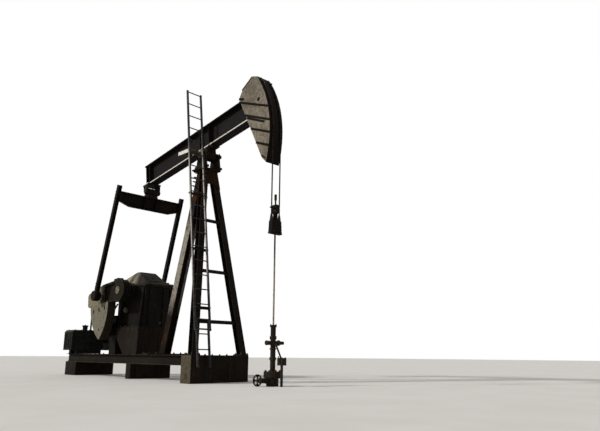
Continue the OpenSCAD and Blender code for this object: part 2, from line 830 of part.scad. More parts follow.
// Outline of the equalizer, drawn in Y and Z and pulled in by d
function equalizer_outline(d) = [[-pitman_in + d, -equalizer_drop - d], [pitman_in - d, -equalizer_drop - d],
    [pitman_in - d, -equalizer_drop - equalizer_end_h + d / 2], [equalizer_flat, -equalizer_drop - equalizer_h + d],
    [-equalizer_flat, -equalizer_drop - equalizer_h + d], [-pitman_in + d, -equalizer_drop - equalizer_end_h + d / 2]];

pitman_in = pitman_y - pitman_w / 2;
module equalizer_beam() {
    color(paint) in_swing() {
        along_x(-equalizer_t / 2, equalizer_t) difference() {
            polygon(equalizer_outline(0));
            polygon(equalizer_outline(equalizer_web_t));
        }
        along_x(-equalizer_web_t / 2, equalizer_web_t) polygon(equalizer_outline(0));
        for (y = [-160, 160]) intersection() {
            block(-equalizer_t / 2 + 8, equalizer_t / 2 - 8, y - plate_t / 2, y + plate_t / 2, -equalizer_drop - equalizer_h, -equalizer_drop);
            along_x(-equalizer_t / 2, equalizer_t) polygon(equalizer_outline(0));
        }
    }
}

module equalizer_bearing() {
    half = tail_half - pass_gap;
    color(paint) in_swing() difference() {
        union() {
            rod_y(78, -half, half);
            block(-62, 62, -half, half, -equalizer_drop, 0);
            block(-equalizer_t / 2, equalizer_t / 2, -half, half, -equalizer_drop, -equalizer_drop + 28);
        }
        rod_y(tail_pin_r + running, -half - over, half + over);
    }
}

module pitman(s) {
    color(paint) in_swing() translate([0, s * pitman_y, 0])
        translate([0, 0, -pitman_l + wrist_r - 8]) linear_extrude(pitman_l - wrist_r + 8)
            rotate([0, 0, 90]) h_section(pitman_w, pitman_w, pitman_t);
}

module pitman_near() {
    pitman(-1);
}

module pitman_far() {
    pitman(1);
}

module wrist_bearings() {
    color(paint) in_swing() for (s = [-1, 1])
        translate([0, s * pitman_y, -pitman_l]) difference() {
            union() {
                rod_y(wrist_r, -wrist_half, wrist_half);
                rod_y(wrist_r + 14, -wrist_half + 22, wrist_half - 22);
            }
            block(-wrist_r, wrist_r, -wrist_half - over, wrist_half + over, wrist_r - 8, wrist_r + 20);
        }
}

module crankshaft() {
    out = crank_in + crank_t + 18;
    color(bare_steel) translate([shaft_x, 0, shaft_h]) rod_y(crankshaft_r, -out, out);
}

// Puts its children in a crank's frame: X from the shaft to the tip, Z over its axis
module in_crank() {
    translate([shaft_x, 0, shaft_h]) rotate([0, -crank_tilt, 0]) mirror([1, 0, 0]) children();
}

// Height of a crank's upper and lower edges over its axis at x
function crank_up(x) = lookup(x, [[0, hub_r], crank_shoulder, [crank_l, crank_tip_up]]);
function crank_down(x) = lookup(x, [[0, -hub_r], crank_toe, [crank_l, crank_tip_down]]);

// Crank arm with a clamped hub, a deep panel in each face and the wrist pin holes
module crank(s) {
    y0 = s > 0 ? crank_in : -crank_in - crank_t;
    panel0 = 120;
    panel1 = crank_r - 110;
    lug = [40, 220];
    in_crank() difference() {
        union() {
            rod_y(hub_r, y0, y0 + crank_t);
            along_y(y0, crank_t) polygon([[0, hub_r], crank_shoulder, [crank_l - tip_cut, crank_up(crank_l - tip_cut)],
                [crank_l, crank_tip_up - tip_cut], [crank_l, crank_tip_down + tip_cut],
                [crank_l - tip_cut, crank_down(crank_l - tip_cut)], crank_toe, [0, -hub_r]]);
            block(lug[0], lug[1], y0 + 20, y0 + crank_t - 20, 0, hub_r + 50);
        }
        rod_y(crankshaft_r + running, y0 - over, y0 + crank_t + over);
        block((lug[0] + lug[1]) / 2 - 7, (lug[0] + lug[1]) / 2 + 7, y0 - over, y0 + crank_t + over, hub_r - 60, hub_r + 60);
        for (y = [y0 - over, y0 + crank_t - recess]) along_y(y, recess + over) difference() {
            polygon([[panel0, crank_up(panel0) - rim], [panel1, crank_up(panel1) - rim],
                [panel1, crank_down(panel1) + rim], [panel0, crank_down(panel0) + rim]]);
            circle(r = hub_r - 30, $fn = 48);
        }
        translate([crank_r + pin_step, 0, 0]) rod_y(wrist_pin_r, y0 - over, y0 + crank_t + over);
    }
}

module crank_near() {
    color(paint) crank(-1);
}

module crank_far() {
    color(paint) crank(1);
}

// Counterweight under a crank: two arcs that meet in a point, with bolt pockets and a casting hole
pocket = [50, 90];
module weight(s) {
    y0 = s > 0 ? weight_in : -weight_in - weight_t;
    x0 = weight_mid - weight_w / 2;
    x1 = weight_mid + weight_w / 2;
    low = crank_down(x0) - weight_h;
    out = s > 0 ? y0 + weight_t - recess : y0 - over;
    color(paint) in_crank() difference() {
        intersection() {
            along_y(y0, weight_t) polygon([[x0, crank_down(x0) - seat], [crank_toe[0], crank_toe[1] - seat],
                [x1, crank_down(x1) - seat], [x1, low], [x0, low]]);
            translate([x0 + arch_r, 0, crank_down(x0)]) rod_y(arch_r, y0 - over, y0 + weight_t + over, 120);
            translate([x1 - arch_r, 0, crank_down(x0)]) rod_y(arch_r, y0 - over, y0 + weight_t + over, 120);
        }
        for (x = [-weight_w * 0.31, 0, weight_w * 0.31])
            translate([weight_mid + x, 0, crank_down(x0) - 115]) block(-pocket[0] / 2, pocket[0] / 2, out, out + recess + over, -pocket[1] / 2, pocket[1] / 2);
        translate([weight_mid, 0, low + weight_h * 0.28]) rod_y(26, y0 - over, y0 + weight_t + over);
    }
}

module weight_near() {
    weight(-1);
}

module weight_far() {
    weight(1);
}

module wrist_pins() {
    y1 = pitman_y - wrist_half - pass_gap;
    color(bare_steel) for (s = [-1, 1])
        translate([wrist_x, 0, wrist_z]) {
            rod_y(wrist_pin_r, s > 0 ? crank_in + crank_t : -y1, s > 0 ? y1 : -crank_in - crank_t);
            rod_y(wrist_pin_r + 26, s > 0 ? crank_in + crank_t : -crank_in - crank_t - 20, s > 0 ? crank_in + crank_t + 20 : -crank_in - crank_t);
        }
}

module carrier_bar() {
    color(dark_paint) translate([well_x, 0, carrier_low]) difference() {
        translate([-45, 0, 0]) rotate([90, 0, 90]) linear_extrude(90)
            polygon([[-145, 0], [145, 0], [130, 60], [wire_y + 20, carrier_h], [-wire_y - 20, carrier_h], [-130, 60]]);
        translate([0, 0, -over]) cylinder(h = carrier_h + 2 * over, r = rod_r + seat, $fn = 48);
    }
}

module rod_clamp() {
    z0 = carrier_low + carrier_h;
    color(paint) translate([well_x, 0, z0]) difference() {
        union() {
            cylinder(h = 150, r = 45, $fn = 32);
            block(-70, 70, -50, 50, 150, 310);
            translate([50, 0, 235]) rod_y(11, -165, -50, 24);
        }
        translate([0, 0, -over]) cylinder(h = 320 + over, r = rod_r + seat, $fn = 48);
    }
}

module polished_rod() {
    color(bare_steel) translate([well_x, 0, 0]) {
        translate([0, 0, rod_low]) cylinder(h = rod_top - rod_low, r = rod_r, $fn = 48);
        translate([0, 0, rod_top - 110]) cylinder(h = 110, r = rod_r + 9, $fn = 32);
    }
}

module bridle_wires() {
    color(bare_steel) for (s = [-1, 1])
        translate([well_x, s * wire_y, carrier_low + carrier_h])
            cylinder(h = pivot_h - seat - carrier_low - carrier_h, r = wire_r, $fn = 24);
}

front_pedestal();
base_rail_near();
base_rail_far();
base_cross_beams();
base_supports();
front_leg_near();
front_leg_far();
rear_leg();
leg_braces();
post_gusset();
post_cap();
saddle_stand();
saddle_shaft();
ladder_upper();
ladder_lower();
ladder_brackets();
work_platform();
reducer_pedestal();
gear_case();
gear_case_cover();
brake();
belt_guard();
engine();
engine_fittings();
casing_head();
casing_valve();
tubing_tee();
flow_riser();
stuffing_box();
walking_beam();
saddle_housing();
head_side_near();
head_side_far();
head_face();
head_cross_plates();
bridle_wrap();
tail_bracket();
equalizer_beam();
equalizer_bearing();
pitman_near();
pitman_far();
wrist_bearings();
crankshaft();
crank_near();
crank_far();
weight_near();
weight_far();
wrist_pins();
carrier_bar();
rod_clamp();
polished_rod();
bridle_wires();
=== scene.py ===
import json
import math

import bmesh
import bpy
from mathutils import Matrix, Vector


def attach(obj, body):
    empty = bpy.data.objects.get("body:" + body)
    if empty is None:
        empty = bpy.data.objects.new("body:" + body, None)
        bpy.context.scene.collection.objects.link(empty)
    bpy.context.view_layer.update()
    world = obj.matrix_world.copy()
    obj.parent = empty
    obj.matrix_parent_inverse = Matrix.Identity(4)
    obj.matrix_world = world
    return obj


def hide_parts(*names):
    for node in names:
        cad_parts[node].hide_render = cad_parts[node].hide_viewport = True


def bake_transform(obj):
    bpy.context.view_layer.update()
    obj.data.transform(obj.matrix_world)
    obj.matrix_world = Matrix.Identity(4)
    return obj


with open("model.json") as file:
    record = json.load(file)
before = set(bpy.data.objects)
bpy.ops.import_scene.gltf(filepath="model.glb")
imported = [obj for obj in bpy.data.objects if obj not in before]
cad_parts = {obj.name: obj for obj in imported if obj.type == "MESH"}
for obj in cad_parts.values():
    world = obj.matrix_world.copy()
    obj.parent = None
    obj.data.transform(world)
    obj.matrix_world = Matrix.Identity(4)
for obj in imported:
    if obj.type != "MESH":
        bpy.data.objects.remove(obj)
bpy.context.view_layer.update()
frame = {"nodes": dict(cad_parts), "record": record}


# Camera, at the photograph's viewing angle

picture_w = 600.0
sensor_w = 36.0


def look_from(place, azimuth, rise, roll, focal_px):
    """Camera at place, turned left by azimuth from +Y, up by rise and over by roll, with its focal length in pixels."""
    forward = Vector((-math.sin(azimuth) * math.cos(rise), math.cos(azimuth) * math.cos(rise), math.sin(rise)))
    right = Vector((math.cos(azimuth), math.sin(azimuth), 0.0))
    above = right.cross(forward)
    right, above = (right * math.cos(roll) + above * math.sin(roll),
        above * math.cos(roll) - right * math.sin(roll))
    turn = Matrix((right, above, -forward)).transposed().to_4x4()
    data = bpy.data.cameras.new("camera")
    data.sensor_width = sensor_w
    data.lens = sensor_w * focal_px / picture_w
    camera = bpy.data.objects.new("camera", data)
    camera.matrix_world = Matrix.Translation(place) @ turn
    bpy.context.scene.collection.objects.link(camera)
    bpy.context.scene.camera = camera


look_from(Vector((9.559, -7.356, 0.567)), azimuth=0.778, rise=0.232, roll=0.008, focal_px=584.5)


# Directions, and the unit's main points and faces at rest, in metres

up, down = (0.0, 0.0, 1.0), (0.0, 0.0, -1.0)
to_well, to_tail = (1.0, 0.0, 0.0), (-1.0, 0.0, 0.0)
to_near, to_far = (0.0, -1.0, 0.0), (0.0, 1.0, 0.0)
near_and_far = (-1.0, 1.0)

# The axes: the beam's pivot, the cranks' shaft, and the belt's two shafts
pivot_h = 4.8
saddle = Vector((-0.54, 0.0, pivot_h))
shaft = Vector((-2.82, 0.0, 1.95))
input_shaft = Vector((-3.65, 0.0, 1.13))
engine_shaft = Vector((-5.255, 0.0, 0.85))

# The base's top, the post's feet, cap and top, and how far from the saddle its legs start and end
base_top = 0.52
foot_z, cap_z, post_top = 0.545, 4.47, 4.5
foot_front = 0.6
rear_foot, rear_top = 1.29, 0.19
front_l = math.hypot(foot_front, cap_z - foot_z)
front_lean = math.atan(foot_front / (cap_z - foot_z))

# The beam's tilt and the faces of its flanges over the pivot, and its tail pin behind it
beam_tilt = math.radians(9.5)
flange_low, flange_top, top_flange_low = 0.185, 0.21, 0.69
tail_l = 2.32

# The head's side plates and face, the ropes' line on it, and the carrier that they hold
plate_out = 0.17
arc_r = 2.18
wire_line = 2.1943
wire_y = 0.1
well_x = 1.6543
carrier_top = 3.0

# The pitmans with the faces that their bolts sit on, and the wrist pins on the cranks
pitman_l = 2.66435
pitman_lean = math.radians(15.8)
pitman_out, wrist_in = 0.913, 0.792
crank_r = 0.74
crank_droop = math.radians(7.5)

# The gear case on its bed: ends, side, joint and lip; the brake drum's middle and the belt guard's outer face
bed_top = 1.10
case_back, case_front, case_half = -3.5, -2.31, 0.3
case_joint, lip_t, lip_mid = 2.08, 0.028, 0.0125
drum_y = -0.4275
guard_out = 0.48


# Finishes

def shade(red, green, blue):
    """A colour as a screen shows it, from 0 to 255, turned into the light that a surface returns."""
    parts = [part / 255 for part in (red, green, blue)]
    return tuple(p / 12.92 if p < 0.04045 else ((p + 0.055) / 1.055) ** 2.4 for p in parts) + (1.0,)


class Value:
    """A socket that Python's operators combine with Math nodes."""

    def __init__(self, finish, socket):
        self.finish, self.socket = finish, socket

    def maths(self, operation, *terms):
        made = self.finish.node("ShaderNodeMath", {"operation": operation}, dict(enumerate(terms)))
        return Value(self.finish, made.outputs[0])

    def __add__(self, other):
        return self.maths("ADD", self, other)

    def __sub__(self, other):
        return self.maths("SUBTRACT", self, other)

    def __rsub__(self, other):
        return self.maths("SUBTRACT", other, self)

    def __mul__(self, other):
        return self.maths("MULTIPLY", self, other)

    __radd__ = __add__
    __rmul__ = __mul__

    def over(self, low, high):
        """0 where the value is under low, 1 over high and smooth between."""
        made = self.finish.node("ShaderNodeMapRange", {"interpolation_type": "SMOOTHSTEP"}, {0: self, 1: low, 2: high})
        return Value(self.finish, made.outputs[0])

    def between(self, low, low_end, high, high_end):
        """1 between low_end and high, falling to 0 at low and at high_end."""
        return self.over(low, low_end) * (1.0 - self.over(high, high_end))


class Finish:
    """One material, with the few patterns that weather makes on steel."""

    def __init__(self, name, constants):
        self.material = bpy.data.materials.new(name)
        self.material.use_nodes = True
        self.surface = self.material.node_tree.nodes["Principled BSDF"]
        for socket, amount in constants.items():
            self.surface.inputs[socket].default_value = amount
        self.place = self.node("ShaderNodeTexCoord").outputs["Object"]
        self.facing = self.node("ShaderNodeNewGeometry").outputs["Normal"]
        turned_to = self.node("ShaderNodeSeparateXYZ", {}, {0: self.facing}).outputs
        self.upward = Value(self, turned_to["Z"])
        self.nearward = 0.0 - Value(self, turned_to["Y"])

    def node(self, kind, settings=(), sockets=()):
        """A node of a kind, with its settings made first and then its sockets fed."""
        made = self.material.node_tree.nodes.new(kind)
        for key, setting in dict(settings).items():
            setattr(made, key, setting)
        for key, given in dict(sockets).items():
            self.feed(made.inputs[key], given)
        return made

    def feed(self, socket, given):
        given = given.socket if isinstance(given, Value) else given
        if isinstance(given, bpy.types.NodeSocket):
            self.material.node_tree.links.new(given, socket)
        else:
            socket.default_value = given

    def patches(self, size, detail=4.0, stretch=(1.0, 1.0, 1.0)):
        """Cloudy patches about size metres across, pulled out where stretch is under 1."""
        at = self.node("ShaderNodeMapping", {},
            {"Vector": self.place, "Scale": [share / size for share in stretch]}).outputs[0]
        noise = self.node("ShaderNodeTexNoise", {},
            {"Vector": at, "Scale": 1.0, "Detail": detail, "Roughness": 0.62})
        return Value(self, noise.outputs[0])

    def along(self, direction, origin=(0.0, 0.0, 0.0)):
        """Distance in metres from origin, measured along direction."""
        start = sum(d * o for d, o in zip(direction, origin))
        made = self.node("ShaderNodeVectorMath", {"operation": "DOT_PRODUCT"}, {0: self.place, 1: direction})
        return Value(self, made.outputs["Value"]) - start

    def away_from(self, axis_point):
        """Distance in metres from the line through axis_point along Y."""
        gone = self.node("ShaderNodeVectorMath", {"operation": "SUBTRACT"}, {0: self.place, 1: axis_point})
        flat = self.node("ShaderNodeVectorMath", {"operation": "MULTIPLY"}, {0: gone.outputs[0], 1: (1.0, 0.0, 1.0)})
        made = self.node("ShaderNodeVectorMath", {"operation": "LENGTH"}, {0: flat.outputs[0]})
        return Value(self, made.outputs["Value"])

    def edges(self, radius):
        """1 along sharp edges, falling to 0 on the flat."""
        rounded = self.node("ShaderNodeBevel", {"samples": 4}, {"Radius": radius}).outputs[0]
        made = self.node("ShaderNodeVectorMath", {"operation": "DOT_PRODUCT"}, {0: rounded, 1: self.facing})
        return (1.0 - Value(self, made.outputs["Value"])).over(0.02, 0.2)

    def tint(self, mask, under, on):
        """The colour under, with the colour on laid over it where mask is 1."""
        return self.node("ShaderNodeMix", {"data_type": "RGBA"}, {0: mask, 6: under, 7: on}).outputs[2]

    def relief(self, height, depth):
        """Bumps up to depth metres high."""
        bump = self.node("ShaderNodeBump", {}, {"Height": height, "Distance": depth, "Strength": 1.0})
        self.feed(self.surface.inputs["Normal"], bump.outputs[0])


def weathered(name, coat, faded, stain, rust, worn, dust_and_lit_tops, rusting=0.5, dust_and_lit_share=0.5, streaky=0.5, wear=0.5,
        gloss=0.62, metal=0.0, pits=0.0036, rusty_over=None, painted_sunlit_side=None, darker_round_shaft=None, painted_flange_highlight=None):
    """Old paint on steel: faded in patches, streaked by rain, dusted on top (on the beam also painted sunlit
    tops), worn at its edges and rusting.

    Colours are as a screen shows them. The four shares from 0 to 1 after the colours say how much rusting, dusting
    (on the beam also painted sunlit tops), streaking and wear there is, gloss is the roughness, and pits is the depth
    of the grain in metres. The last four give two heights between which rust grows, a pale colour painted as sunlight
    on the near side between two distances along a direction, a centre and two radii between which a darker colour round
    a shaft fades out, and the colour of a painted highlight on the near face of the beam's lower flange edge."""
    coat, faded, stain, rust, worn, dust_and_lit_tops = (shade(*colour) for colour in (coat, faded, stain, rust, worn, dust_and_lit_tops))
    finish = Finish(name, {"Specular IOR Level": 0.05})
    broad, fine, speck = finish.patches(0.9), finish.patches(0.05, 6.0), finish.patches(0.012, 3.0)
    edge = finish.edges(0.012)

    # The coat, and the rain's streaks down its sides
    colour = finish.tint((broad * 0.4 + fine * 0.35 + speck * 0.25).over(0.45, 0.57), coat, faded)
    runs = finish.patches(0.07, 5.0, (1.0, 1.0, 0.09)) + broad * 0.35
    lower = 0.22 * streaky
    streaks = runs.over(0.80 - lower, 0.96 - lower) * (1.0 - finish.upward.over(0.5, 0.9))
    colour = finish.tint(streaks * (0.45 + 0.4 * streaky), colour, stain)

    # Rust, darker in its pits
    attack = finish.patches(0.22, 7.0) + edge * 0.09 + speck * 0.14
    if rusty_over:
        attack = attack + finish.along(up).over(*rusty_over) * 0.11
    lower = 0.2 * rusting
    eaten = attack.over(0.76 - lower, 0.82 - lower)
    pitted = [part * 0.45 for part in rust[:3]] + [1.0]
    colour = finish.tint(eaten * (fine * 0.5 + 0.5), colour, finish.tint(speck.over(0.45, 0.6), rust, pitted))

    # What only some pieces have: painted sunlight on the near side, darker colour round a shaft, and a painted
    # highlight on the beam's flange edge
    # Painted sunlight: the near faces paler between two distances along a direction, with painted shade beyond them
    if painted_sunlit_side:
        pale, direction, low, high = painted_sunlit_side
        fade = (high - low) * 0.16
        reached = finish.along(direction) + (broad + fine * 0.6 - 0.8) * fade
        strip = reached.between(low - fade, low + fade, high - fade, high + fade) * finish.nearward.over(0.2, 0.45)
        mottle = (fine * 0.6 + speck * 0.4).over(0.32, 0.52)
        colour = finish.tint(strip * mottle * (1.0 - eaten * 0.6), colour, shade(*pale))
    # Colour darker towards a shaft, fading out between two radii
    if darker_round_shaft:
        centre, inner, outer = darker_round_shaft
        beyond_darkening = (finish.away_from(centre) + broad * 0.3 + fine * 0.2).over(inner, outer)
        colour = finish.tint((1.0 - beyond_darkening) * 0.96, colour, stain)
    rubbed = edge * (fine + speck * 0.4).over(0.82 - 0.3 * wear, 0.96 - 0.3 * wear)
    colour = finish.tint(rubbed, colour, worn)
    # Painted highlight: a pale strip on the near face of the beam's lower flange edge
    if painted_flange_highlight:
        height = finish.along((-math.sin(beam_tilt), 0.0, math.cos(beam_tilt)), saddle)
        strip = height.between(flange_low - 0.02, flange_low - 0.015, flange_top - 0.002, flange_top + 0.004)
        mottle = (fine + broad * 0.3).over(0.38, 0.56)
        colour = finish.tint(strip * finish.nearward.over(0.8, 0.95) * mottle, colour, shade(*painted_flange_highlight))

    # Dust on what faces up, which on the beam is pale enough to paint sunlight on its flange tops, and the surface
    # under it all
    lower = 0.4 * dust_and_lit_share
    dust_and_lit_mask = finish.upward.over(0.55, 0.95) * (fine * 0.7 + broad * 0.5).over(0.72 - lower, 0.98 - lower)
    colour = finish.tint(dust_and_lit_mask, colour, dust_and_lit_tops)
    roughness = fine * 0.22 + (gloss - 0.05) + eaten * 0.2 + dust_and_lit_mask * 0.15 - rubbed * 0.12
    finish.feed(finish.surface.inputs["Base Color"], colour)
    finish.feed(finish.surface.inputs["Roughness"], roughness)
    finish.feed(finish.surface.inputs["Metallic"], rubbed * 0.4 + metal * (1.0 - eaten * 0.8))
    finish.relief(speck * 0.35 + fine * 0.5 - eaten * 0.35 + finish.patches(0.004, 2.0) * 0.2, pits)
    return finish.material


paints = {
    "base_paint": dict(coat=(21, 17, 13), faded=(35, 29, 23), stain=(13, 11, 8), rust=(62, 38, 22),
        worn=(74, 65, 53), dust_and_lit_tops=(96, 87, 72), rusting=0.45, dust_and_lit_share=0.7),
    # The pedestal's pale near-side colour paints sunlight on its near faces.
    "pedestal_paint": dict(coat=(19, 15, 11), faded=(31, 25, 19), stain=(12, 10, 7), rust=(62, 38, 22),
        worn=(70, 61, 49), dust_and_lit_tops=(90, 80, 66), rusting=0.4, dust_and_lit_share=0.7, painted_sunlit_side=((78, 70, 57), up, -0.5, 1.0)),
    "post_paint": dict(coat=(18, 14, 10), faded=(30, 24, 18), stain=(11, 9, 6), rust=(62, 36, 18),
        worn=(56, 48, 38), dust_and_lit_tops=(80, 71, 58), rusting=0.4, dust_and_lit_share=0.4, rusty_over=(3.4, 4.2)),
    # The rear leg's pale near-side colour is a painted sunlit strip, with painted shade above and below it.
    "rear_leg_paint": dict(coat=(18, 14, 10), faded=(30, 24, 18), stain=(11, 9, 6), rust=(74, 42, 20),
        worn=(56, 48, 38), dust_and_lit_tops=(80, 71, 58), rusting=0.45, dust_and_lit_share=0.4, rusty_over=(3.5, 4.1),
        painted_sunlit_side=((138, 131, 119), up, 1.6, 3.4)),
    "rusted_plate": dict(coat=(26, 18, 12), faded=(46, 29, 17), stain=(17, 12, 8), rust=(60, 36, 20),
        worn=(60, 47, 35), dust_and_lit_tops=(72, 56, 40), rusting=0.7, dust_and_lit_share=0.3, gloss=0.8),
    "head_plate_paint": dict(coat=(88, 80, 67), faded=(126, 117, 102), stain=(62, 55, 45), rust=(96, 70, 48),
        worn=(164, 156, 141), dust_and_lit_tops=(120, 111, 96), rusting=0.05, dust_and_lit_share=0.3, streaky=0.12, wear=1.0, pits=0.006),
    "head_face_paint": dict(coat=(15, 9, 6), faded=(22, 14, 10), stain=(10, 6, 4), rust=(48, 25, 14),
        worn=(60, 50, 41), dust_and_lit_tops=(48, 39, 31), rusting=0.3, dust_and_lit_share=0.1, wear=0.3),
    # The beam's pale flange-edge colour is a painted highlight, and its pale top colour paints sunlight on its flange
    # tops as well as dusting.
    "beam_paint": dict(coat=(16, 14, 13), faded=(27, 24, 23), stain=(11, 10, 9), rust=(52, 33, 20),
        worn=(50, 46, 41), dust_and_lit_tops=(134, 127, 115), rusting=0.2, dust_and_lit_share=0.9, streaky=0.35, painted_flange_highlight=(204, 198, 187)),
    "pitman_paint": dict(coat=(17, 13, 10), faded=(28, 22, 17), stain=(11, 9, 6), rust=(60, 35, 20),
        worn=(54, 46, 37), dust_and_lit_tops=(88, 79, 66), rusting=0.35, dust_and_lit_share=0.6),
    # The cranks' pale near-side colour paints sunlight on their near faces, and their colour is darker round the shaft.
    "crank_paint": dict(coat=(40, 35, 27), faded=(58, 51, 40), stain=(18, 14, 11), rust=(80, 54, 34),
        worn=(120, 111, 92), dust_and_lit_tops=(110, 101, 83), rusting=0.3, dust_and_lit_share=0.5, streaky=0.5, wear=0.6, gloss=0.75,
        pits=0.009, darker_round_shaft=(shaft, 0.95, 1.25), painted_sunlit_side=((122, 114, 93), up, -1.0, 4.0)),
    # The weights' pale near-side colour paints sunlight on their near faces.
    "weight_paint": dict(coat=(38, 34, 27), faded=(54, 49, 40), stain=(24, 21, 16), rust=(74, 52, 34),
        worn=(106, 99, 82), dust_and_lit_tops=(96, 88, 73), rusting=0.3, dust_and_lit_share=0.5, streaky=0.6, wear=0.6, gloss=0.75,
        pits=0.009, painted_sunlit_side=((112, 107, 92), up, -1.0, 4.0)),
    "gear_case_paint": dict(coat=(17, 14, 11), faded=(28, 24, 19), stain=(11, 9, 7), rust=(58, 37, 22),
        worn=(66, 59, 48), dust_and_lit_tops=(100, 92, 76), rusting=0.22, dust_and_lit_share=0.7, streaky=0.8, gloss=0.5, pits=0.009),
    # The cover's pale near-side colour paints sunlight on its near faces towards the tail, with painted shade towards
    # the well.
    "cover_paint": dict(coat=(24, 21, 16), faded=(40, 35, 28), stain=(15, 13, 10), rust=(68, 45, 28),
        worn=(112, 104, 87), dust_and_lit_tops=(92, 85, 70), rusting=0.25, dust_and_lit_share=0.2, streaky=0.6, gloss=0.55, pits=0.009,
        painted_sunlit_side=((150, 143, 122), to_well, -3.8, -2.8)),
    "engine_paint": dict(coat=(20, 22, 21), faded=(33, 35, 32), stain=(13, 12, 11), rust=(62, 40, 24),
        worn=(80, 76, 66), dust_and_lit_tops=(92, 86, 72), rusting=0.3, dust_and_lit_share=0.7),
    "well_paint": dict(coat=(28, 24, 18), faded=(44, 38, 30), stain=(15, 13, 10), rust=(72, 45, 25),
        worn=(88, 78, 62), dust_and_lit_tops=(88, 78, 62), rusting=0.5, dust_and_lit_share=0.5, gloss=0.55),
    # The ladder's pale near-side colour paints sunlight on its near faces.
    "ladder_steel": dict(coat=(36, 37, 39), faded=(54, 55, 57), stain=(24, 23, 21), rust=(72, 50, 34),
        worn=(104, 103, 100), dust_and_lit_tops=(92, 90, 86), rusting=0.25, dust_and_lit_share=0.5, streaky=0.6, gloss=0.5, metal=0.2,
        painted_sunlit_side=((160, 155, 145), up, 2.0, 4.75)),
    # The platform's pale near-side colour paints sunlight on its near faces.
    "platform_steel": dict(coat=(70, 66, 58), faded=(96, 91, 81), stain=(44, 40, 34), rust=(92, 64, 42),
        worn=(150, 145, 134), dust_and_lit_tops=(120, 114, 102), rusting=0.3, dust_and_lit_share=0.4, streaky=0.6, gloss=0.5, metal=0.1,
        painted_sunlit_side=((214, 209, 199), up, 3.0, 7.0)),
    "turned_steel": dict(coat=(96, 90, 74), faded=(122, 115, 96), stain=(38, 33, 25), rust=(82, 56, 34),
        worn=(170, 164, 147), dust_and_lit_tops=(100, 93, 77), rusting=0.25, dust_and_lit_share=0.3, gloss=0.42, metal=0.7, pits=0.0018),
    # The polished rod's pale near-side colour paints sunlight on its near faces.
    "rod_steel": dict(coat=(34, 30, 24), faded=(54, 48, 39), stain=(20, 17, 13), rust=(62, 41, 26),
        worn=(100, 93, 78), dust_and_lit_tops=(60, 54, 44), rusting=0.2, dust_and_lit_share=0.2, gloss=0.45, metal=0.2, pits=0.0012,
        painted_sunlit_side=((150, 141, 116), up, 0.9, 2.3)),
    "bolt_steel": dict(coat=(36, 31, 25), faded=(54, 47, 38), stain=(20, 17, 13), rust=(80, 48, 27),
        worn=(100, 92, 79), dust_and_lit_tops=(90, 82, 68), rusting=0.55, dust_and_lit_share=0.4, gloss=0.5, metal=0.2, pits=0.0018),
    "seam_and_shade_black": dict(coat=(13, 10, 7), faded=(20, 15, 10), stain=(9, 7, 5), rust=(38, 24, 14), worn=(34, 28, 20),
        dust_and_lit_tops=(26, 21, 16), rusting=0.3, dust_and_lit_share=0.1, gloss=0.7),
    "wire_rope": dict(coat=(17, 16, 14), faded=(29, 27, 23), stain=(12, 11, 9), rust=(50, 33, 21),
        worn=(64, 59, 51), dust_and_lit_tops=(42, 38, 32), rusting=0.3, dust_and_lit_share=0.1, gloss=0.5, metal=0.2, pits=0.0012),
}
finishes = {name: weathered(name, **row) for name, row in paints.items()}
by_slot = {"dark_steel": "base_paint", "post_paint": "post_paint", "rusty_steel": "rusted_plate",
    "bare_steel": "turned_steel", "ladder_steel": "ladder_steel", "reducer_paint": "gear_case_paint",
    "engine_paint": "engine_paint", "beam_paint": "beam_paint", "head_paint": "head_plate_paint",
    "pitman_paint": "pitman_paint", "crank_paint": "crank_paint", "well_steel": "well_paint"}
by_node = {"head_face": "head_face_paint", "work_platform": "platform_steel", "weight_near": "weight_paint",
    "weight_far": "weight_paint", "gear_case_cover": "cover_paint", "rear_leg": "rear_leg_paint",
    "front_pedestal": "pedestal_paint", "saddle_stand": "pitman_paint", "saddle_housing": "pitman_paint",
    "polished_rod": "rod_steel", "carrier_bar": "pitman_paint", "rod_clamp": "pitman_paint"}
for part in frame["record"]["subparts"]:
    dressed = frame["nodes"][part["node"]]
    dressed.data.materials.clear()
    dressed.data.materials.append(finishes[by_node.get(part["node"], by_slot[part["material_slot"]])])


# Frames in which the fittings of each piece are placed

in_place = Matrix.Identity(4)
in_beam = Matrix.Translation(saddle) @ Matrix.Rotation(-beam_tilt, 4, "Y")
in_swing = Matrix.Translation(in_beam @ Vector((-tail_l, 0.0, 0.0))) @ Matrix.Rotation(pitman_lean, 4, "Y")
in_crank = Matrix.Translation(shaft) @ Matrix.Rotation(-crank_droop, 4, "Y") @ Matrix.Rotation(math.pi, 4, "Z")
in_legs = Matrix.Translation((saddle.x + foot_front, 0.0, foot_z)) @ Matrix.Rotation(-front_lean, 4, "Y")
in_ladder = in_legs @ Matrix.Translation((0.161, -0.472, 0.0)) @ Matrix.Rotation(-math.radians(0.65), 4, "X")
at_well = Matrix.Translation((well_x, 0.0, 0.0))
at_brake = Matrix.Translation(input_shaft)


def linked(name, mesh, material):
    """An object of the scene, made of a finished bmesh in one material."""
    data = bpy.data.meshes.new(name)
    mesh.to_mesh(data)
    mesh.free()
    data.materials.append(material)
    made = bpy.data.objects.new(name, data)
    bpy.context.scene.collection.objects.link(made)
    return made


def joined_edges(verts):
    """The edges that end at some vertices, each once."""
    return list(dict.fromkeys(edge for vert in verts for edge in vert.link_edges))


